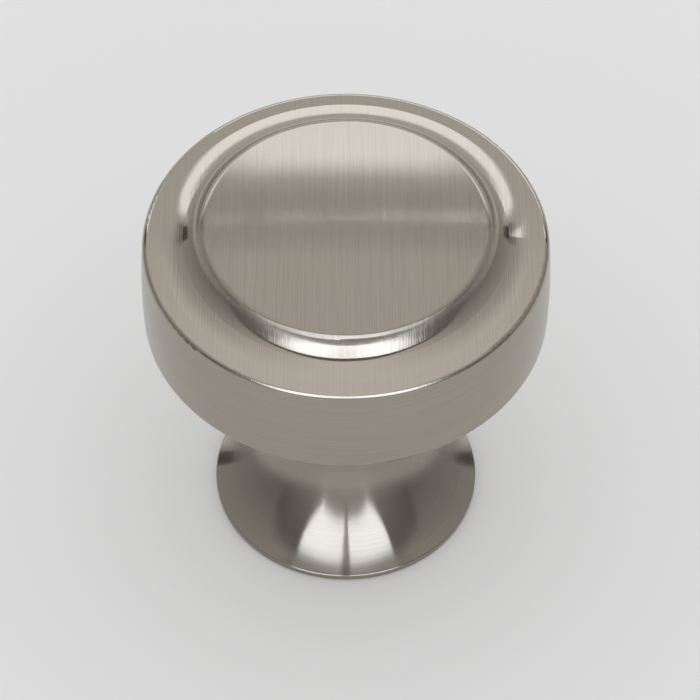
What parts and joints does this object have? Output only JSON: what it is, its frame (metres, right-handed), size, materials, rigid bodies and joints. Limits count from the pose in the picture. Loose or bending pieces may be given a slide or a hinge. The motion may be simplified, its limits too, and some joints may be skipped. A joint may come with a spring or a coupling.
{
  "type": "cabinet knob",
  "caption": "Round metal cabinet and drawer knob: drum head with a raised, slightly crowned face, slim neck, flared foot with a tapped hole for a screw from behind.",
  "frame": {"origin": "middle of the foot's underside, on the knob's axis, in the plane that bears on the door or drawer front", "axes": "+Z along the knob's axis from the door to the face; X and Y in the foot's plane, with the brush lines of the face along Y"},
  "size_m": [0.032, 0.032, 0.0324],
  "materials": {
    "satin_nickel": "satin nickel plate, brushed: straight lines across the face, round the side, neck and foot"
  },
  "bodies": {
    "root": {"knob": "satin_nickel"}
  },
  "joints": []
}
